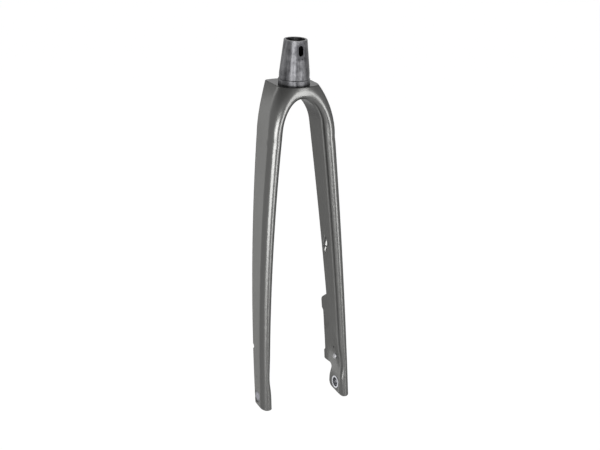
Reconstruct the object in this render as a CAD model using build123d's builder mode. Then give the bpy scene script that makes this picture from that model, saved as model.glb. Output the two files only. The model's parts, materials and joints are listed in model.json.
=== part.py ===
from build123d import *
from collections import namedtuple
import math
import os

# All sizes are in mm. +Z runs up the steering axis from the crown race seat,
# the front of the fork is -Y and the rider's left, with the brake, is +X.

# Wheel and steering geometry
axle_to_crown = 395.0
rake = 51.5
hub_width = 100.0
axle_d = 12.0
hub_half = hub_width / 2
axle_drop = math.sqrt(axle_to_crown**2 - rake**2)

# Legs, from where the crown arch springs down to the axle
arch_spring = 50.0
arch_half = 27.5
leg_width_top = 17.8
leg_width_axle = 12.0
leg_bow = 0.6
rear_top = 10.1
rear_behind_axle = 9.1
rear_bow = 0.28
nose_top = -34.5
nose_before_axle = 16.9
nose_bow = 0.39
nose_in_top = 9.35
nose_in_axle = 6.4
nose_out_top = 12.3
nose_out_axle = 9.2
leg_crest = 0.45
rear_corner = 3.0
leg_overrun = 24.0
high_steps = 2
low_steps = 12
leg_clearance = 1.2
dropout_in = hub_half + leg_clearance
leg_run = axle_drop - arch_spring
rear_axle = -rake + rear_behind_axle
nose_axle = -rake - nose_before_axle

# Crown, an arch of the same D section that is cut flat at the race seat
arch_apex = 16.0
crown_peak = 18.0
crown_nose = -27.3
crown_tail = 33.0
crown_nose_in = 8.0
crown_nose_out = 26.0
crown_crest = 0.16
crown_steps = 6
crown_legs = (72.0, 61.0)
crown_top_round = 1.2

# Hollow inside the legs
leg_wall = 2.4
hollow_corner = 1.2
hollow_top = 42.0
hollow_end_drive = 318.0
hollow_end_brake = 350.0
drain_d = 2.4
drain_up = 4.6
drain_share = 0.36

# Steerer tube
race_seat_d = 39.8
race_seat_h = 6.5
steerer_base_d = 38.2
steerer_base_h = 13.0
steerer_top_d = 29.4
steerer_h = 55.0
steerer_wall = 2.8
seat_bevel = 0.7
spigot_d = 34.0
spigot_wall = 3.5
spigot_depth = 12.0
port_w = 6.5
port_h = 13.0
port_z = 43.0
port_flat_w = 11.0
port_flat_h = 21.0
port_flat_depth = 0.9

# Brake hose passage from the steerer into the left leg
passage_d = 6.5
passage_start = (8.0, -6.0, -6.0)
passage_end = (38.6, -12.1, -46.3)

# Hose hood on the inner face of the left leg
hood_d = 11.0
hood_drop = 213.0
hood_y = -23.6
hood_sink = 0.3
hood_tilt = 18.0
hood_length = 24.0
hood_lip = 30.0
hood_lip_round = 0.8
hose_hole_d = 6.2
hose_run_out = 16.0
grommet_wall = 0.8
grommet_length = 6.0
grommet_recess = 0.4

# Brake mount on the rear of the left leg
mount_spacing = 70.0
mount_up = 26.8
mount_back = 32.9
mount_tilt = 6.8
mount_boss = 6.0
mount_ramp = 3.0
mount_relief = 3.2
mount_top = 8.0
mount_top_round = 6.0
mount_edge_round = 1.5
mount_foot_round = 2.5
pad_top = 279.0
pad_reach = 26.0
mount_insert_d = 8.0
mount_insert_length = 11.0
m5_bore = 4.2

# Dropouts
notch_back = 12.0
notch_round = 5.0
lobe_back = 16.5
lobe_up = 4.0
lobe_round = 9.0
foot_clear = 0.3
foot_drop = 11.8
foot_corner = 8.5
foot_slope = 0.14
foot_ramp_top = 364.0
foot_ramp_end = 390.0
foot_nose_in = 3.2
hub_face_step = 0.3
contour_round = 1.2

# Axle inserts
sleeve_d = 16.5
drive_insert_d = 14.0
drive_thread_bore = 10.5
drive_thread_lead = 0.9
face_clearance = 1.0
face_depth = 0.5

# Fender inserts
fender_insert_d = 6.0
fender_insert_length = 8.0
fender_face_clearance = 0.4
fender_drive_drop = 329.6
fender_drive_turn = 45.0
fender_drive_depth = 3.4
fender_brake = (-46.0, -357.4)
fender_brake_depth = 0.5
dome_r = 4.2
dome_h = 2.3
crown_insert_d = 9.0
crown_insert_flange_d = 11.0
crown_insert_flange_h = 1.5
m6_bore = 5.0

# Blanks and cutters reach this far past what they cut
overcut = 40.0

bezier_arc = 0.5523

Station = namedtuple("Station", "inner outer rear_in rear_out nose nose_in nose_out crest")


def blend(start, end, share):
    return start + (end - start) * share


def leg_share(drop):
    return (drop - arch_spring) / leg_run


def leg_inside(drop):
    t = leg_share(drop)
    return blend(arch_half, dropout_in, t * (1 + leg_bow * (1 - t)))


def leg_width(drop):
    return blend(leg_width_top, leg_width_axle, leg_share(drop))


def leg_rear(drop):
    t = leg_share(drop)
    return blend(rear_top, rear_axle, t * (1 - rear_bow * (1 - t)))


def leg_nose(drop):
    t = leg_share(drop)
    return blend(nose_top, nose_axle, t * (1 - nose_bow * (1 - t)))


# Share of the swelling on the inner side that carries the hub face
def foot_share(drop):
    t = (drop - foot_ramp_top) / (foot_ramp_end - foot_ramp_top)
    t = min(max(t, 0.0), 1.0)
    return t * t * (3 - 2 * t)


def leg_station(drop, rear_reach=0.0):
    t = leg_share(drop)
    swell = foot_share(drop)
    inside = leg_inside(drop)
    rear = leg_rear(drop) + rear_reach
    return Station(
        (blend(inside, hub_half + hub_face_step, swell), -drop),
        (inside + leg_width(drop), -drop),
        rear,
        rear,
        leg_nose(drop),
        blend(blend(nose_in_top, nose_in_axle, t), foot_nose_in, swell),
        blend(nose_out_top, nose_out_axle, t),
        leg_crest,
    )


lean_in = (dropout_in - arch_half) * (1 + leg_bow) / leg_run
lean_out = lean_in + (leg_width_axle - leg_width_top) / leg_run
rear_lean = (rear_axle - rear_top) * (1 - rear_bow) / leg_run


def crown_station(angle):
    s = math.sin(math.radians(angle))
    c = math.cos(math.radians(angle))
    rise_in = (arch_spring - arch_apex) * s
    rise_out = (arch_spring + crown_peak) * s
    return Station(
        (c * (arch_half - lean_in * rise_in), rise_in - arch_spring),
        (c * (arch_half + leg_width_top - lean_out * rise_out), rise_out - arch_spring),
        rear_top - rear_lean * rise_in,
        rear_top - rear_lean * rise_out + crown_tail * s**3,
        blend(crown_nose, nose_top, (1 - s) * (2 + s) / 2),
        blend(nose_in_top, crown_nose_in, s),
        blend(nose_out_top, crown_nose_out, s),
        blend(leg_crest, crown_crest, s),
    )


def mirrored(station):
    inner = (-station.inner[0], station.inner[1])
    outer = (-station.outer[0], station.outer[1])
    return station._replace(inner=inner, outer=outer)


# D section across the leg: flat sides and rear, round nose to the front
def section_face(station, corner=rear_corner, wall=0.0):
    inner = Vector(station.inner[0], 0, station.inner[1])
    outer = Vector(station.outer[0], 0, station.outer[1])
    across = outer - inner
    plane = Plane(origin=inner, x_dir=across, z_dir=across.cross(Vector(0, 1, 0)))
    left = wall
    right = across.length - wall
    nose = station.nose + wall
    crest = blend(left, right, station.crest)
    rear_in = station.rear_in - wall
    rear_out = station.rear_out - wall
    side_in = nose + station.nose_in
    side_out = nose + station.nose_out
    soft = 1 - bezier_arc
    with BuildSketch(plane) as section:
        with BuildLine():
            Line((left, rear_in), (left, side_in))
            Bezier(
                (left, side_in),
                (left, nose + station.nose_in * soft),
                (blend(crest, left, bezier_arc), nose),
                (crest, nose),
            )
            Bezier(
                (crest, nose),
                (blend(crest, right, bezier_arc), nose),
                (right, nose + station.nose_out * soft),
                (right, side_out),
            )
            Line((right, side_out), (right, rear_out))
            Line((right, rear_out), (left, rear_in))
        make_face()
        if corner > 0:
            fillet(section.vertices().sort_by(Axis.Y)[-2:], corner)
    return section.sketch.faces()[0]


# Point on the rear of the left leg: up along the brake mount line from the
# lower hole, and out from that line
def mount_point(up, out):
    tilt = math.radians(mount_tilt)
    y = -rake + mount_back + up * math.sin(tilt) + out * math.cos(tilt)
    z = -axle_drop + mount_up + up * math.cos(tilt) - out * math.sin(tilt)
    return (y, z)


def mount_plane(up):
    y, z = mount_point(up, 0)
    drop = -z
    tilt = math.radians(mount_tilt)
    middle = leg_inside(drop) + leg_width(drop) / 2
    return Plane(
        origin=(middle, y, z),
        x_dir=(1, 0, 0),
        z_dir=(0, math.cos(tilt), -math.sin(tilt)),
    )


def axle_plane(x, side):
    return Plane(origin=(side * x, -rake, -axle_drop), x_dir=(0, 1, 0), z_dir=(side, 0, 0))


# Flat across the rear outer edge of the right leg, turned out from the rear
def fender_drive_plane():
    drop = fender_drive_drop
    turn = math.radians(fender_drive_turn)
    facing = Vector(-math.sin(turn), math.cos(turn), 0)
    corner = Vector(-leg_inside(drop) - leg_width(drop), leg_rear(drop), -drop)
    return Plane(origin=corner - facing * fender_drive_depth, x_dir=(0, 0, 1), z_dir=facing)


# Flat on the outer face of the left leg
def fender_brake_plane():
    y, z = fender_brake
    x = leg_inside(-z) + leg_width(-z) - fender_brake_depth
    return Plane(origin=(x, y, z), x_dir=(0, 1, 0), z_dir=(1, 0, 0))


def foot_z(y):
    return -axle_drop - foot_drop + foot_slope * (y + rake)


crown_left = [leg_station(drop) for drop in crown_legs]
for step in range(crown_steps + 1):
    crown_left.append(crown_station(90 * step / crown_steps))
crown_right = [mirrored(station) for station in reversed(crown_left[:-1])]
leg_bottom = axle_drop + leg_overrun
high_drops = [blend(crown_legs[0], pad_top, step / high_steps) for step in range(high_steps + 1)]
low_drops = [blend(pad_top, leg_bottom, step / low_steps) for step in range(low_steps + 1)]

axle_outside = leg_inside(axle_drop) + leg_width_axle - face_depth
passage_line = Vector(*passage_end) - Vector(*passage_start)
passage_plane = Plane(origin=passage_start, z_dir=passage_line)
crown_floor = -spigot_depth
sleeve_length = axle_outside - hub_half

hood_lean_in = (leg_inside(hood_drop - 1) - leg_inside(hood_drop + 1)) / 2
hood_lean_y = (leg_nose(hood_drop - 1) - leg_nose(hood_drop + 1)) / 2
hood_axis = Vector(hood_lean_in + math.tan(math.radians(hood_tilt)), hood_lean_y, 1).normalized()
hood_origin = Vector(leg_inside(hood_drop) + hood_sink, hood_y, -hood_drop)
hood_plane = Plane(origin=hood_origin, x_dir=(0, 1, 0), z_dir=hood_axis)
hood_side = hood_plane.x_dir.cross(hood_axis)
hood_inward = hood_side if hood_side.X < 0 else -hood_side
lip_turn = math.radians(hood_lip)
lip_normal = hood_inward * math.sin(lip_turn) - hood_axis * math.cos(lip_turn)
lip_plane = Plane(origin=hood_origin, z_dir=lip_normal)

port_lean = math.atan2((steerer_base_d - steerer_top_d) / 2, steerer_h - steerer_base_h)
port_r = blend(steerer_base_d, steerer_top_d, (port_z - steerer_base_h) / (steerer_h - steerer_base_h)) / 2
port_plane = Plane(
    origin=(0, -port_r, port_z),
    x_dir=(1, 0, 0),
    z_dir=(0, -math.cos(port_lean), math.sin(port_lean)),
)

with BuildPart() as hose_hood:
    with BuildSketch(hood_plane.offset(-hood_d)):
        Circle(hood_d / 2)
    extrude(amount=hood_d + hood_length)
    with BuildSketch(lip_plane):
        Rectangle(overcut, overcut)
    extrude(amount=overcut, mode=Mode.SUBTRACT)
    fillet(hose_hood.faces().sort_by(Axis.Z)[0].edges(), hood_lip_round)


with BuildPart() as crown:
    loft(sections=[section_face(station) for station in crown_left + crown_right])
    with BuildSketch(Plane.XY):
        Rectangle(4 * overcut, 4 * overcut)
    extrude(amount=2 * overcut, mode=Mode.SUBTRACT)
    fillet(crown.faces().filter_by(Axis.Z).sort_by(Axis.Z)[-1].edges(), crown_top_round)


with BuildPart() as fork_body:
    add(crown.part)
    for drops in (high_drops, low_drops):
        loft(sections=[section_face(mirrored(leg_station(drop))) for drop in drops])
    loft(sections=[section_face(leg_station(drop)) for drop in high_drops])
    loft(sections=[section_face(leg_station(drop, pad_reach), 0) for drop in low_drops])

    # Rear of the left leg: brake mount with its two bosses, then the notch and
    # the lobe behind the axle
    underside = mount_point(-mount_boss, 0)[1]
    with BuildSketch(Plane.YZ.offset(dropout_in - overcut / 2)):
        with BuildLine():
            FilletPolyline(
                (leg_rear(pad_top), -pad_top),
                mount_point(mount_spacing + mount_top, 0),
                mount_point(mount_spacing - mount_boss, 0),
                mount_point(mount_spacing - mount_boss - mount_ramp, -mount_relief),
                mount_point(mount_boss + mount_ramp, -mount_relief),
                mount_point(mount_boss, 0),
                mount_point(-mount_boss, 0),
                (-rake + notch_back, underside),
                (-rake + lobe_back, -axle_drop + lobe_up),
                (-rake + lobe_back, foot_z(-rake + lobe_back)),
                (-rake - overcut, foot_z(-rake - overcut)),
                (-rake - overcut, -axle_drop - overcut),
                (overcut, -axle_drop - overcut),
                (overcut, -pad_top),
                radius=[
                    0,
                    mount_top_round,
                    mount_edge_round,
                    mount_edge_round,
                    mount_edge_round,
                    mount_edge_round,
                    mount_foot_round,
                    notch_round,
                    lobe_round,
                    foot_corner,
                    0,
                    0,
                    0,
                    0,
                ],
                close=True,
            )
        make_face()
    extrude(amount=overcut, mode=Mode.SUBTRACT)
    contour = fork_body.edges(Select.NEW).filter_by(lambda edge: abs(edge.tangent_at(0.5).X) < 0.5)
    fillet(contour, contour_round)

    # Foot of the right leg
    foot_back = leg_rear(axle_drop) + foot_clear
    with BuildSketch(Plane.YZ.offset(-dropout_in - overcut / 2)):
        with BuildLine():
            FilletPolyline(
                (foot_back, -axle_drop),
                (foot_back, foot_z(foot_back)),
                (-rake - overcut, foot_z(-rake - overcut)),
                (-rake - overcut, -axle_drop - overcut),
                (overcut, -axle_drop - overcut),
                (overcut, -axle_drop),
                radius=[0, foot_corner, 0, 0, 0, 0],
                close=True,
            )
        make_face()
    extrude(amount=overcut, mode=Mode.SUBTRACT)
    contour = fork_body.edges(Select.NEW).filter_by(lambda edge: abs(edge.tangent_at(0.5).X) < 0.5)
    fillet(contour, contour_round)

    # Hose hood, and the dome over the blind end of the left fender insert
    add(hose_hood.part)
    fender_y, fender_z = fender_brake
    with Locations((leg_inside(-fender_z) + dome_r - dome_h, fender_y, fender_z)):
        Sphere(dome_r)

    # Hollows of both legs, each with its drain hole
    for side, end in ((-1, hollow_end_drive), (1, hollow_end_brake)):
        stations = [leg_station(blend(hollow_top, end, step / 3)) for step in range(4)]
        if side < 0:
            stations = [mirrored(station) for station in stations]
        loft(
            sections=[section_face(station, hollow_corner, leg_wall) for station in stations],
            mode=Mode.SUBTRACT,
        )
        drain = end - drain_up
        drain_y = blend(leg_rear(drain), leg_nose(drain), drain_share)
        drain_x = leg_inside(drain) - leg_wall
        drain_plane = Plane(
            origin=(side * drain_x, drain_y, -drain),
            x_dir=(0, 1, 0),
            z_dir=(side, 0, 0),
        )
        with BuildSketch(drain_plane):
            Circle(drain_d / 2)
        extrude(amount=3 * leg_wall, mode=Mode.SUBTRACT)

    # Steerer socket, hose passage and hole for the crown insert
    with BuildSketch(Plane.XY):
        Circle(spigot_d / 2)
    extrude(amount=-spigot_depth, mode=Mode.SUBTRACT)
    with BuildSketch(passage_plane):
        Circle(passage_d / 2)
    extrude(amount=passage_line.length, mode=Mode.SUBTRACT)
    with BuildSketch(Plane.XY):
        Circle(crown_insert_d / 2)
    extrude(amount=-arch_spring, mode=Mode.SUBTRACT)

    # Hose hole up through the hood into the left leg
    with BuildSketch(hood_plane.offset(-hose_run_out)):
        Circle(hose_hole_d / 2)
    extrude(amount=hose_run_out + hood_length, mode=Mode.SUBTRACT)

    # Axle seats with a flat face round the outer end
    for side, seat_d in ((-1, drive_insert_d), (1, sleeve_d)):
        with BuildSketch(axle_plane(hub_half, side)):
            Circle(seat_d / 2)
        extrude(amount=2 * leg_width_axle, mode=Mode.SUBTRACT)
        with BuildSketch(axle_plane(axle_outside, side)):
            Circle(seat_d / 2 + face_clearance)
        extrude(amount=leg_width_axle, mode=Mode.SUBTRACT)

    # Seats of the brake mount inserts
    for up in (0, mount_spacing):
        with BuildSketch(mount_plane(up)):
            Circle(mount_insert_d / 2)
        extrude(amount=-mount_insert_length, mode=Mode.SUBTRACT)

    # Seats of the fender inserts
    for seat_plane in (fender_drive_plane(), fender_brake_plane()):
        with BuildSketch(seat_plane):
            Circle(fender_insert_d / 2)
        extrude(amount=-fender_insert_length, mode=Mode.SUBTRACT)
        with BuildSketch(seat_plane):
            Circle(fender_insert_d / 2 + fender_face_clearance)
        extrude(amount=leg_width_axle, mode=Mode.SUBTRACT)
fork_body.part.label = "fork_body"


with BuildPart() as steerer_tube:
    with BuildSketch(Plane.XZ):
        with BuildLine():
            Polyline(
                (spigot_d / 2, -spigot_depth),
                (spigot_d / 2, 0),
                (race_seat_d / 2, 0),
                (race_seat_d / 2, race_seat_h - seat_bevel),
                (steerer_base_d / 2, race_seat_h),
                (steerer_base_d / 2, steerer_base_h),
                (steerer_top_d / 2, steerer_h),
                (steerer_top_d / 2 - steerer_wall, steerer_h),
                (steerer_base_d / 2 - steerer_wall, steerer_base_h),
                (spigot_d / 2 - spigot_wall, 0),
                (spigot_d / 2 - spigot_wall, -spigot_depth),
                close=True,
            )
        make_face()
    revolve(axis=Axis.Z)
    with BuildSketch(port_plane.offset(-port_flat_depth)):
        SlotOverall(port_flat_h, port_flat_w, rotation=90)
    extrude(amount=port_flat_w, mode=Mode.SUBTRACT)
    with BuildSketch(port_plane):
        SlotOverall(port_h, port_w, rotation=90)
    extrude(amount=-2 * steerer_wall, mode=Mode.SUBTRACT)
    with BuildSketch(passage_plane):
        Circle(passage_d / 2)
    extrude(amount=passage_line.length, mode=Mode.SUBTRACT)
steerer_tube.part.label = "steerer_tube"


with BuildPart() as crown_fender_insert:
    with BuildSketch(Plane.XY.offset(crown_floor)):
        Circle(crown_insert_flange_d / 2)
    extrude(amount=crown_insert_flange_h)
    with BuildSketch(Plane.XY.offset(crown_floor)):
        Circle(crown_insert_d / 2)
    extrude(amount=-(arch_apex - spigot_depth))
    with BuildSketch(Plane.XY.offset(-arch_apex)):
        Circle(m6_bore / 2)
    extrude(amount=arch_apex, mode=Mode.SUBTRACT)
crown_fender_insert.part.label = "crown_fender_insert"


with BuildPart() as drive_axle_insert:
    with BuildSketch(axle_plane(hub_half, -1)):
        Circle(drive_insert_d / 2)
        Circle(drive_thread_bore / 2, mode=Mode.SUBTRACT)
    extrude(amount=sleeve_length)
    bore_edges = drive_axle_insert.edges().filter_by(GeomType.CIRCLE).sort_by(SortBy.RADIUS)[:2]
    chamfer(bore_edges, drive_thread_lead)
drive_axle_insert.part.label = "drive_axle_insert"


with BuildPart() as brake_axle_sleeve:
    with BuildSketch(axle_plane(hub_half, 1)):
        Circle(sleeve_d / 2)
        Circle(axle_d / 2, mode=Mode.SUBTRACT)
    extrude(amount=sleeve_length)
brake_axle_sleeve.part.label = "brake_axle_sleeve"


with BuildPart() as brake_mount_insert_lower:
    with BuildSketch(mount_plane(0)):
        Circle(mount_insert_d / 2)
        Circle(m5_bore / 2, mode=Mode.SUBTRACT)
    extrude(amount=-mount_insert_length)
brake_mount_insert_lower.part.label = "brake_mount_insert_lower"


with BuildPart() as brake_mount_insert_upper:
    with BuildSketch(mount_plane(mount_spacing)):
        Circle(mount_insert_d / 2)
        Circle(m5_bore / 2, mode=Mode.SUBTRACT)
    extrude(amount=-mount_insert_length)
brake_mount_insert_upper.part.label = "brake_mount_insert_upper"


with BuildPart() as fender_insert_drive:
    with BuildSketch(fender_drive_plane()):
        Circle(fender_insert_d / 2)
        Circle(m5_bore / 2, mode=Mode.SUBTRACT)
    extrude(amount=-fender_insert_length)
fender_insert_drive.part.label = "fender_insert_drive"


with BuildPart() as fender_insert_brake:
    with BuildSketch(fender_brake_plane()):
        Circle(fender_insert_d / 2)
        Circle(m5_bore / 2, mode=Mode.SUBTRACT)
    extrude(amount=-fender_insert_length)
fender_insert_brake.part.label = "fender_insert_brake"


with BuildPart() as hose_grommet:
    with BuildSketch(hood_plane.offset(-hood_d)):
        Circle(hose_hole_d / 2)
        Circle(hose_hole_d / 2 - grommet_wall, mode=Mode.SUBTRACT)
    extrude(amount=hood_d + grommet_length)
    with BuildSketch(lip_plane.offset(-grommet_recess)):
        Rectangle(overcut, overcut)
    extrude(amount=overcut, mode=Mode.SUBTRACT)
hose_grommet.part.label = "hose_grommet"


os.makedirs("parts", exist_ok=True)
export_step(fork_body.part, "parts/fork_body.step")
export_step(steerer_tube.part, "parts/steerer_tube.step")
export_step(crown_fender_insert.part, "parts/crown_fender_insert.step")
export_step(drive_axle_insert.part, "parts/drive_axle_insert.step")
export_step(brake_axle_sleeve.part, "parts/brake_axle_sleeve.step")
export_step(brake_mount_insert_lower.part, "parts/brake_mount_insert_lower.step")
export_step(brake_mount_insert_upper.part, "parts/brake_mount_insert_upper.step")
export_step(fender_insert_drive.part, "parts/fender_insert_drive.step")
export_step(fender_insert_brake.part, "parts/fender_insert_brake.step")
export_step(hose_grommet.part, "parts/hose_grommet.step")
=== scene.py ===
import json
import math

import bmesh
import bpy
from mathutils import Matrix, Vector


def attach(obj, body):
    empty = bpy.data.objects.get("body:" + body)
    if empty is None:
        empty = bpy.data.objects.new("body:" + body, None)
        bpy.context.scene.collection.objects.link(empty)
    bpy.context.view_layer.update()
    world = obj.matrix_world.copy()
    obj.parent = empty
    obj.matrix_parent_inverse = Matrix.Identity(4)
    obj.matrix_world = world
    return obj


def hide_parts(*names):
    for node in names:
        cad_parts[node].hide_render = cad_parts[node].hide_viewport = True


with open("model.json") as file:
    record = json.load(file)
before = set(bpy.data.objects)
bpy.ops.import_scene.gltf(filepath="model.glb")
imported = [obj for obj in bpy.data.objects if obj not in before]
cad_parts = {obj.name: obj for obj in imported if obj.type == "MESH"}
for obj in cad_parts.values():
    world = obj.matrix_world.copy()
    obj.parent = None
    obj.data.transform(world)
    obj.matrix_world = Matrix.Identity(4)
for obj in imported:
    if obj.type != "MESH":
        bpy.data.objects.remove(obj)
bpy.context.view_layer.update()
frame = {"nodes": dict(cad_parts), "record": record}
nodes = frame["nodes"]
mounts = {mount["name"]: mount for mount in frame["record"]["mounts"]}
scene = bpy.context.scene
mm = 0.001
white = (1, 1, 1, 1)
print("frame loaded:", len(nodes), "nodes")


def linear(hexCode):  # sRGB hex to the linear colour that Blender works in
    parts = [int(hexCode[i:i + 2], 16) / 255 for i in (1, 3, 5)]
    return [c / 12.92 if c <= 0.04045 else ((c + 0.055) / 1.055) ** 2.4 for c in parts] + [1.0]


def addNode(tree, kind, inputs=None, **settings):  # inputs are values, or sockets to link from
    node = tree.nodes.new(kind)
    for key, value in settings.items():
        setattr(node, key, value)
    for key, value in (inputs or {}).items():
        if isinstance(value, bpy.types.NodeSocket):
            tree.links.new(value, node.inputs[key])
        else:
            node.inputs[key].default_value = value
    return node


def perMetre(sizeMm):  # texture scale for a pattern of this real size
    return 1000 / sizeMm


def addNoise(tree, place, sizeMm, detail, roughness=0.5):
    return addNode(tree, "ShaderNodeTexNoise", {
        "Vector": place, "Scale": perMetre(sizeMm), "Detail": detail, "Roughness": roughness,
    }).outputs["Fac"]


def addMath(tree, operation, first, second):
    return addNode(tree, "ShaderNodeMath", {0: first, 1: second}, operation=operation).outputs[0]


def addRange(tree, value, span, result=(0.0, 1.0)):  # carries the span over to the result, and clamps
    return addNode(tree, "ShaderNodeMapRange", {
        "Value": value, "From Min": span[0], "From Max": span[1], "To Min": result[0], "To Max": result[1],
    }).outputs["Result"]


def mixColours(tree, share, first, second):
    return addNode(tree, "ShaderNodeMix", {
        "Factor": share, "A": first, "B": second,
    }, data_type="RGBA").outputs["Result"]


def addBump(tree, height, strength, depthMm):
    return addNode(tree, "ShaderNodeBump", {
        "Height": height, "Strength": strength, "Distance": depthMm * mm,
    }).outputs["Normal"]


def startMaterial(name):
    material = bpy.data.materials.new(name)
    material.use_nodes = True
    tree = material.node_tree
    return material, tree, tree.nodes["Principled BSDF"]


def finishMaterial(tree, shader, colour, bump, values):
    tree.links.new(colour, shader.inputs["Base Color"])
    tree.links.new(bump, shader.inputs["Normal"])
    for name, value in values.items():
        shader.inputs[name].default_value = value


def dress(nodeName, material):
    mesh = nodes[nodeName].data
    mesh.materials.clear()
    mesh.materials.append(material)


def addObject(name, data):
    item = bpy.data.objects.new(name, data)
    scene.collection.objects.link(item)
    return item


def closedMesh(name, points, faces):  # all faces are turned outwards
    mesh = bpy.data.meshes.new(name)
    mesh.from_pydata(points, [], faces)
    shape = bmesh.new()
    shape.from_mesh(mesh)
    bmesh.ops.recalc_face_normals(shape, faces=shape.faces)
    shape.to_mesh(mesh)
    shape.free()
    return mesh


# camera, fitted to the outline of the fork
cameraSettings = {
    "azimuth": -28.723,
    "elevation": 18.521,
    "roll": 2.342,
    "distance": 2.0,
    "target": (0.005757, -0.02, -0.180327),
    "focalPixels": 1580.19,
    "imageWidth": 600,
    "sensor": 36.0,
    "clipEnd": 50,
}


def towards(azimuth, elevation):  # azimuth 0 is the front of the fork, 90 its left side
    a = math.radians(azimuth)
    e = math.radians(elevation)
    return Vector((math.sin(a) * math.cos(e), -math.cos(a) * math.cos(e), math.sin(e)))


def placeFacing(s):  # at its distance from the middle of the fork, looking at it
    back = towards(s["azimuth"], s["elevation"])
    place = Matrix.Translation(Vector(cameraSettings["target"]) + back * s["distance"])
    return place @ back.to_track_quat("Z", "Y").to_matrix().to_4x4()


def makeCamera(s):
    data = bpy.data.cameras.new("photoCamera")
    data.sensor_width = s["sensor"]
    data.lens = s["focalPixels"] / s["imageWidth"] * s["sensor"]
    data.clip_end = s["clipEnd"]
    camera = addObject("photoCamera", data)
    camera.matrix_world = placeFacing(s) @ Matrix.Rotation(math.radians(s["roll"]), 4, "Z")
    scene.camera = camera


makeCamera(cameraSettings)
print("camera set")


# metallic gunmetal paint, sprayed over a moulded composite: soft wide highlights
# from the flakes, and a thin clear coat over them
paintSettings = {
    "dark": "#555554",
    "light": "#595958",
    "edge": "#6A6A68",  # tint of the flakes at a glancing angle
    "flakeMm": 1.4,  # real flakes are about 0.05 mm, drawn coarser so that they show
    "flakeDetail": 3.0,
    "cloudMm": 45,
    "cloudDetail": 2.0,
    "toneRange": (0.6, 1.4),
    "peelMm": 3.0,
    "peelDetail": 1.0,
    "peelStrength": 0.25,
    "peelDepthMm": 0.003,
    "metallic": 0.8,
    "roughness": 0.28,
    "coat": 0.25,
    "coatRoughness": 0.12,
}


def makePaint(s):
    material, tree, shader = startMaterial("gunmetalMetallicPaint")
    place = addNode(tree, "ShaderNodeTexCoord").outputs["Object"]
    flakes = addNoise(tree, place, s["flakeMm"], s["flakeDetail"])
    clouds = addNoise(tree, place, s["cloudMm"], s["cloudDetail"])
    tone = addRange(tree, addMath(tree, "ADD", flakes, clouds), s["toneRange"])
    colour = mixColours(tree, tone, linear(s["dark"]), linear(s["light"]))
    peel = addNoise(tree, place, s["peelMm"], s["peelDetail"])
    bump = addBump(tree, peel, s["peelStrength"], s["peelDepthMm"])
    finishMaterial(tree, shader, colour, bump, {
        "Specular Tint": linear(s["edge"]),
        "Metallic": s["metallic"],
        "Roughness": s["roughness"],
        "Coat Weight": s["coat"],
        "Coat Roughness": s["coatRoughness"],
    })
    return material


paint = makePaint(paintSettings)


# the moulding's feet, in mm from the race seat: a hollow on the inner side above each
# dropout, and on the brake side a front edge that rounds away from the axle ring
footSettings = {
    "start": 325,
    "mergeWithin": 0.001,
    "longestEdge": 1.2,
    "divideRounds": 6,
    "innerFace": 50.0,
    "outerFace": 62.8,
    "hollowMiddle": 367,
    "hollowHalf": 30,
    "hollowDepth": {-1: 0.7, 1: 1.9},  # drive side and brake side
    "hollowRear": -26,
    "hollowFront": -54,
    "rampTop": 366,
    "rampEnd": 386,
    "roundTop": 369,
    "roundEnd": 382,
    "roundFrom": -57.5,
    "roundNose": -70.6,
    "roundLimit": 0.99,
    "roundDepth": 6.5,
    "roundSoft": 1.0,
    "sharpAngle": 40,
    "sameFacing": 0.99,  # cosine between two faces that count as one
    "keyDigits": 3,
}


def shareBetween(value, start, end):
    return min(max((value - start) / (end - start), 0), 1)


def easedShare(value, start, end):
    t = shareBetween(value, start, end)
    return t * t * (3 - 2 * t)


def footShift(s, point):  # how far a point of the foot moves away from the wheel, in mm
    across = abs(point.x) / mm
    y = point.y / mm
    drop = -point.z / mm
    depth = shareBetween(across, s["innerFace"], s["outerFace"])
    t = min(abs(drop - s["hollowMiddle"]) / s["hollowHalf"], 1)
    hollow = (1 - t * t) ** 2 * (1 - easedShare(drop, s["rampTop"], s["rampEnd"]))
    hollow *= easedShare(y, s["hollowRear"], s["hollowFront"]) * (1 - depth) ** 2
    shift = s["hollowDepth"][1 if point.x > 0 else -1] * hollow
    if point.x > 0:
        forward = min(shareBetween(y, s["roundFrom"], s["roundNose"]), s["roundLimit"])
        rounded = s["roundDepth"] * (1 - math.sqrt(1 - forward ** 2))
        rounded *= easedShare(drop, s["roundTop"], s["roundEnd"])
        short = s["innerFace"] + rounded - across - shift
        if forward > 0:
            shift += (short + math.hypot(short, s["roundSoft"] * forward)) / 2
    return shift


def cornerPlace(mesh, loop):
    return mesh.vertices[mesh.loops[loop].vertex_index].co


def cornerKey(s, mesh, loop):
    return tuple(round(value / mm, s["keyDigits"]) for value in cornerPlace(mesh, loop))


def keepNormals(s, mesh, solid):  # above the feet the mesh keeps the exact normals of the solid
    known = {}
    for face in solid.polygons:
        for loop in face.loop_indices:
            pair = (face.normal.copy(), solid.corner_normals[loop].vector.copy())
            known.setdefault(cornerKey(s, solid, loop), []).append(pair)
    normals = [corner.vector.copy() for corner in mesh.corner_normals]
    for face in mesh.polygons:
        for loop in face.loop_indices:
            if cornerPlace(mesh, loop).z < -s["start"] * mm:
                continue
            pairs = known.get(cornerKey(s, mesh, loop), [])
            own = (face.normal, normals[loop])
            facing, normal = max(pairs, key=lambda pair: pair[0].dot(face.normal), default=own)
            if facing.dot(face.normal) > s["sameFacing"]:
                normals[loop] = normal
    mesh.normals_split_custom_set(normals)


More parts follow.
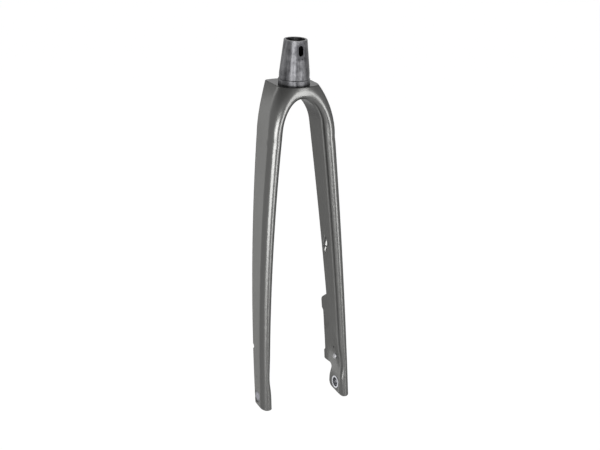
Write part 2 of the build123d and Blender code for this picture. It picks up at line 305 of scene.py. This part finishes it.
def divideFeet(s, shape):
    for divideRound in range(s["divideRounds"]):
        feet = [edge for edge in shape.edges if max(v.co.z for v in edge.verts) < -s["start"] * mm]
        longEdges = [edge for edge in feet if edge.calc_length() > s["longestEdge"] * mm]
        bmesh.ops.subdivide_edges(shape, edges=longEdges, cuts=1)
        bmesh.ops.triangulate(shape, faces=[face for face in shape.faces if len(face.verts) > 3])


def shapeBody(s, material):
    shape = bmesh.new()
    shape.from_mesh(nodes["fork_body"].data)
    bmesh.ops.remove_doubles(shape, verts=shape.verts, dist=s["mergeWithin"] * mm)
    divideFeet(s, shape)
    for vert in shape.verts:
        if vert.co.z < -s["start"] * mm:
            vert.co.x += math.copysign(footShift(s, vert.co) * mm, vert.co.x)
    mesh = bpy.data.meshes.new("forkBodyShaped")
    shape.to_mesh(mesh)
    shape.free()
    if "custom_normal" in mesh.attributes:
        mesh.attributes.remove(mesh.attributes["custom_normal"])
    mesh.shade_smooth()
    mesh.set_sharp_from_angle(angle=math.radians(s["sharpAngle"]))
    keepNormals(s, mesh, nodes["fork_body"].data)
    mesh.materials.clear()
    mesh.materials.append(material)
    body = addObject("forkBodyShaped", mesh)
    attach(body, "root")
    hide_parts("fork_body")
    return len(mesh.polygons)


print("body shaped and painted:", shapeBody(footSettings, paint), "faces")


# bare aluminium tube, sanded by hand for bonding: dull, with blotches and upright streaks,
# and darker in an oval round the hose port
steererSettings = {
    "dark": "#39393B",
    "light": "#68686A",
    "darkNearPort": "#363638",
    "blotchMm": 9,
    "blotchDetail": 5.0,
    "blotchRoughness": 0.6,
    "streakMm": (3.5, 3.5, 70),
    "streakDetail": 2.0,
    "toneRange": (0.75, 1.25),
    "port": (0, -0.0157, 0.043),
    "darkNearPortSizeMm": (8.5, 12, 13.5),
    "darkNearPortRange": (1.15, 1.6),
    "gritMm": 0.9,  # real grit is about 0.1 mm, drawn coarser so that it shows
    "gritDetail": 3.0,
    "gritStrength": 0.3,
    "gritDepthMm": 0.02,
    "metallic": 1.0,
    "roughness": 0.45,
}


def makeSteererMetal(s):
    material, tree, shader = startMaterial("sandedAluminium")
    place = addNode(tree, "ShaderNodeTexCoord").outputs["Object"]
    blotches = addNoise(tree, place, s["blotchMm"], s["blotchDetail"], s["blotchRoughness"])
    drawn = addNode(tree, "ShaderNodeMapping", {
        "Vector": place, "Scale": [perMetre(size) for size in s["streakMm"]],
    }).outputs["Vector"]
    streaks = addNode(tree, "ShaderNodeTexNoise", {
        "Vector": drawn, "Scale": 1.0, "Detail": s["streakDetail"],
    }).outputs["Fac"]
    tone = addRange(tree, addMath(tree, "ADD", blotches, streaks), s["toneRange"])
    metal = mixColours(tree, tone, linear(s["dark"]), linear(s["light"]))
    # darker in an oval round the hose port, mixed in over the metal
    fromPort = addNode(tree, "ShaderNodeVectorMath", {
        0: place, 1: s["port"],
    }, operation="SUBTRACT").outputs[0]
    scaled = addNode(tree, "ShaderNodeVectorMath", {
        0: fromPort, 1: [perMetre(size) for size in s["darkNearPortSizeMm"]],
    }, operation="MULTIPLY").outputs[0]
    reach = addNode(tree, "ShaderNodeVectorMath", {0: scaled}, operation="LENGTH").outputs["Value"]
    darkNearPort = addRange(tree, addMath(tree, "ADD", reach, blotches), s["darkNearPortRange"], (1.0, 0.0))
    colour = mixColours(tree, darkNearPort, metal, linear(s["darkNearPort"]))
    grit = addNoise(tree, place, s["gritMm"], s["gritDetail"])
    bump = addBump(tree, grit, s["gritStrength"], s["gritDepthMm"])
    finishMaterial(tree, shader, colour, bump, {
        "Metallic": s["metallic"], "Roughness": s["roughness"],
    })
    return material


dress("steerer_tube", makeSteererMetal(steererSettings))
print("steerer dressed")


# turned aluminium of the inserts: light, with fine rings left by the tool
turnedSettings = {
    "tones": {  # darker and lighter
        "sleeve": ("#85868A", "#ABACB0"),
        "insert": ("#5A5A5F", "#707076"),
        "dome": ("#8C8C8E", "#A2A2A4"),
    },
    "roughness": {"sleeve": 0.38, "insert": 0.38, "dome": 0.6},
    "metallic": 1.0,
    "ringMm": 5.03,  # a real tool leaves rings 0.1 mm apart, drawn coarser so that they show
    "waveRadians": 20,  # phase of the wave texture over one unit at scale 1
    "ringDistortion": 0.6,
    "ringDetail": 1.0,
    "ringStrength": 0.3,
    "ringDepthMm": 0.01,
}


def makeTurnedMetal(s, kind, centre, along):
    material, tree, shader = startMaterial("turnedAluminium." + kind)
    darker, lighter = [linear(hexCode) for hexCode in s["tones"][kind]]
    place = addNode(tree, "ShaderNodeTexCoord").outputs["Object"]
    centred = addNode(tree, "ShaderNodeVectorMath", {
        0: place, 1: centre,
    }, operation="SUBTRACT").outputs[0]
    rings = addNode(tree, "ShaderNodeTexWave", {
        "Vector": centred,
        "Scale": 2 * math.pi * perMetre(s["ringMm"]) / s["waveRadians"],
        "Distortion": s["ringDistortion"],
        "Detail": s["ringDetail"],
    }, wave_type="RINGS", rings_direction=along).outputs["Fac"]
    colour = mixColours(tree, rings, darker, lighter)
    bump = addBump(tree, rings, s["ringStrength"], s["ringDepthMm"])
    finishMaterial(tree, shader, colour, bump, {
        "Metallic": s["metallic"], "Roughness": s["roughness"][kind],
    })
    return material


dress("brake_axle_sleeve", makeTurnedMetal(
    turnedSettings, "sleeve", mounts["axle_brake_side"]["pos_m"], "X",
))


# threaded inserts with the thread cut in their bore, in mm; the axle's insert has
# a closed outer end, where a bare disc shows inside a ring that was painted over
smallThread = {"pitch": 0.8, "depth": 0.4, "lead": 0}
insertSettings = {
    "drive_axle_insert": {
        "mount": "axle_drive_side", "outer": 7.0, "pitch": 1.5, "depth": 0.75, "lead": 0.9,
        "floor": 2.5, "disc": 6.0,
    },
    "brake_mount_insert_upper": {"mount": "brake_mount_upper", "outer": 4.0, **smallThread},
    "brake_mount_insert_lower": {"mount": "brake_mount_lower", "outer": 4.0, **smallThread},
    "fender_insert_drive": {"mount": "fender_drive_side", "outer": 3.0, **smallThread},
    "fender_insert_brake": {"mount": "fender_brake_side", "outer": 3.0, **smallThread},
}
threadSides = 36
threadRows = 8  # rows of faces for each turn of thread
threadCrest = 0.15  # shares of half a turn
threadFlank = 0.7
insertEdge = 0.2


def ring(radius):
    return [radius] * threadSides


def threadRing(s, minor, opened, z):
    radii = []
    for side in range(threadSides):
        phase = (z / s["pitch"] - side / threadSides) % 1
        groove = min(max((abs(2 * phase - 1) - threadCrest) / threadFlank, 0), 1)
        radii.append(max(minor + s["depth"] * groove, opened))
    return radii


def insertRows(s, minor, top):  # rings of points, over the outside and back through the bore
    closed = "floor" in s
    bottom = -top
    mouth = minor + max(s["depth"], s["lead"])
    if closed:
        rows = [
            (ring(s["disc"] - insertEdge), bottom),
            (ring(s["disc"]), bottom + insertEdge),
            (ring(s["disc"] + insertEdge), bottom),
        ]
    else:
        rows = [(ring(mouth), bottom)]
    rows += [
        (ring(s["outer"] - insertEdge), bottom),
        (ring(s["outer"]), bottom + insertEdge),
        (ring(s["outer"]), top - insertEdge),
        (ring(s["outer"] - insertEdge), top),
        (ring(mouth), top),
    ]
    boreEnd = bottom + s["floor"] if closed else bottom
    step = s["pitch"] / threadRows
    for row in range(1, int((top - boreEnd) / step)):
        z = top - row * step
        opened = mouth - (top - z if closed else min(top - z, z - bottom))
        rows.append((threadRing(s, minor, opened, z), z))
    if closed:
        rows.append((ring(minor), boreEnd))
    return rows


def makeInsert(nodeName, s, material):
    mount = mounts[s["mount"]]
    closed = "floor" in s
    top = mount["dims"]["length_mm"] / 2 + s["lead"]
    rows = insertRows(s, mount["dims"]["r_mm"], top)
    points = []
    for radii, z in rows:
        for side, radius in enumerate(radii):
            a = 2 * math.pi * side / threadSides
            points.append((radius * math.cos(a) * mm, radius * math.sin(a) * mm, z * mm))
    faces = []
    for row in range(len(rows) - 1 if closed else len(rows)):
        here = row * threadSides
        below = (row + 1) % len(rows) * threadSides
        for side in range(threadSides):
            after = (side + 1) % threadSides
            faces.append((here + side, below + side, below + after, here + after))
    if closed:
        faces.append(tuple(range(threadSides)))
        faces.append(tuple(range(len(points) - threadSides, len(points))))
    mesh = closedMesh(nodeName + "Threaded", points, faces)
    mesh.materials.append(material)
    if closed:
        mesh.materials.append(paint)
        for face in mesh.polygons:  # the ring between the disc and the rim
            reach = face.center.xy.length / mm
            if face.center.z < (insertEdge - top) * mm and reach > s["disc"]:
                face.material_index = 1
    insert = addObject(nodeName + "Threaded", mesh)
    turned = Vector(mount["axis"]).to_track_quat("Z", "Y").to_matrix().to_4x4()
    insert.matrix_world = Matrix.Translation(Vector(mount["pos_m"])) @ turned
    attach(insert, "root")
    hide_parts(nodeName)


insertMetal = makeTurnedMetal(turnedSettings, "insert", (0, 0, 0), "Z")
for insertName, settings in insertSettings.items():
    makeInsert(insertName, settings, insertMetal)
dress("crown_fender_insert", insertMetal)


# bare closed end of the brake side's fender insert, a dome on the inner face of the leg, in mm
domeSettings = {"radius": 4.5, "sink": 1.9, "sides": 32, "rows": 12}


def makeDome(s):
    y, z = mounts["fender_brake_side"]["pos_m"][1:]
    face = Vector((footSettings["innerFace"] * mm, y, z))
    face.x += footShift(footSettings, face) * mm
    radius = s["radius"] * mm
    half = math.acos(s["sink"] / s["radius"])
    points = [(-radius, 0, 0)]
    for row in range(1, s["rows"] + 1):
        a = half * row / s["rows"]
        reach = radius * math.sin(a)
        for side in range(s["sides"]):
            turn = 2 * math.pi * side / s["sides"]
            points.append((-radius * math.cos(a), reach * math.cos(turn), reach * math.sin(turn)))
    faces = []
    for side in range(s["sides"]):
        after = (side + 1) % s["sides"]
        faces.append((0, 1 + side, 1 + after))
        for row in range(s["rows"] - 1):
            low = 1 + row * s["sides"]
            high = low + s["sides"]
            faces.append((low + side, high + side, high + after, low + after))
    faces.append(tuple(range(len(points) - s["sides"], len(points))))
    mesh = closedMesh("fenderInsertDome", points, faces)
    mesh.shade_smooth()
    mesh.materials.append(makeTurnedMetal(turnedSettings, "dome", (0, 0, 0), "X"))
    dome = addObject("fenderInsertDome", mesh)
    dome.matrix_world = Matrix.Translation(face + Vector((s["sink"] * mm, 0, 0)))
    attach(dome, "root")


makeDome(domeSettings)
print("inserts threaded:", len(insertSettings))


# moulded black rubber ring in the hose exit, dull with a fine grain
rubberSettings = {
    "dark": "#161617",
    "light": "#262627",
    "grainMm": 0.8,
    "grainDetail": 2.0,
    "grainStrength": 0.4,
    "grainDepthMm": 0.05,
    "roughness": 0.75,
}


def makeRubber(s):
    material, tree, shader = startMaterial("mouldedRubber")
    place = addNode(tree, "ShaderNodeTexCoord").outputs["Object"]
    grain = addNoise(tree, place, s["grainMm"], s["grainDetail"])
    colour = mixColours(tree, grain, linear(s["dark"]), linear(s["light"]))
    bump = addBump(tree, grain, s["grainStrength"], s["grainDepthMm"])
    finishMaterial(tree, shader, colour, bump, {"Roughness": s["roughness"]})
    return material


dress("hose_grommet", makeRubber(rubberSettings))
print("grommet dressed")


# lights: a broad soft box beside the camera, a narrower one at the front left of the fork,
# a strip close behind its right leg and a weak box at the back
lightSettings = {
    "keyBox": {
        "azimuth": -35, "elevation": 6, "distance": 1.7, "size": (1.25, 0.8), "radiance": 11.5,
    },
    "fillBox": {
        "azimuth": 30, "elevation": 2, "distance": 1.7, "size": (0.7, 0.85), "radiance": 7.7,
    },
    "edgeStrip": {
        "azimuth": -142, "elevation": -6, "distance": 0.47, "size": (0.11, 1.1), "radiance": 1.8,
    },
    "backBox": {
        "azimuth": 151, "elevation": 19, "distance": 1.7, "size": (0.8, 0.5), "radiance": 0.95,
    },
}


def makeLight(name, s):
    data = bpy.data.lights.new(name, "AREA")
    data.shape = "RECTANGLE"
    data.size, data.size_y = s["size"]
    data.energy = math.pi * data.size * data.size_y * s["radiance"]
    light = addObject(name, data)
    light.matrix_world = placeFacing(s)
    light.visible_camera = False


for lightName, settings in lightSettings.items():
    makeLight(lightName, settings)


# white walls under a grey ceiling, dim for diffuse light
worldSettings = {"diffuse": 0.2, "shown": 1.0, "ceiling": 0.3, "wallTop": 0.35, "ceilingFrom": 0.7}


def seenDirectly(tree):  # 1 for camera, glossy and transmission rays
    rays = addNode(tree, "ShaderNodeLightPath").outputs
    first = addMath(tree, "MAXIMUM", rays["Is Camera Ray"], rays["Is Glossy Ray"])
    return addMath(tree, "MAXIMUM", first, rays["Is Transmission Ray"])


def makeWorld(s):
    world = bpy.data.worlds.new("whiteStudio")
    scene.world = world
    world.use_nodes = True
    tree = world.node_tree
    strength = addRange(tree, seenDirectly(tree), (0.0, 1.0), (s["diffuse"], s["shown"]))
    direction = addNode(tree, "ShaderNodeTexCoord").outputs["Generated"]
    height = addNode(tree, "ShaderNodeSeparateXYZ", {"Vector": direction}).outputs["Z"]
    grey = addRange(tree, height, (s["wallTop"], s["ceilingFrom"]), (1.0, s["ceiling"]))
    background = tree.nodes["Background"]
    background.inputs["Color"].default_value = white
    tree.links.new(addMath(tree, "MULTIPLY", strength, grey), background.inputs["Strength"])


makeWorld(worldSettings)


# pale floor well below the fork, which hangs free as it does in the photo
floorSettings = {
    "z": -0.9,
    "half": 6.0,
    "colour": "#F4F4F3",
    "roughness": 0.8,
    "shadow": 0.1,
    "white": 1.1,
}


def makeFloor(s):
    mesh = bpy.data.meshes.new("floor")
    corners = [(x * s["half"], y * s["half"], s["z"]) for x, y in ((-1, -1), (1, -1), (1, 1), (-1, 1))]
    mesh.from_pydata(corners, [], [(0, 1, 2, 3)])
    floor = addObject("floor", mesh)
    material, tree, shader = startMaterial("paleFloor")
    shader.inputs["Base Color"].default_value = linear(s["colour"])
    shader.inputs["Roughness"].default_value = s["roughness"]
    shown = addNode(tree, "ShaderNodeEmission", {"Color": white, "Strength": s["white"]}).outputs[0]
    share = addMath(tree, "MULTIPLY", seenDirectly(tree), 1 - s["shadow"])
    mixed = addNode(tree, "ShaderNodeMixShader", {0: share, 1: shader.outputs[0], 2: shown}).outputs[0]
    tree.links.new(mixed, tree.nodes["Material Output"].inputs["Surface"])
    mesh.materials.append(material)


makeFloor(floorSettings)
scene.view_settings.view_transform = "Standard"
print("studio set")
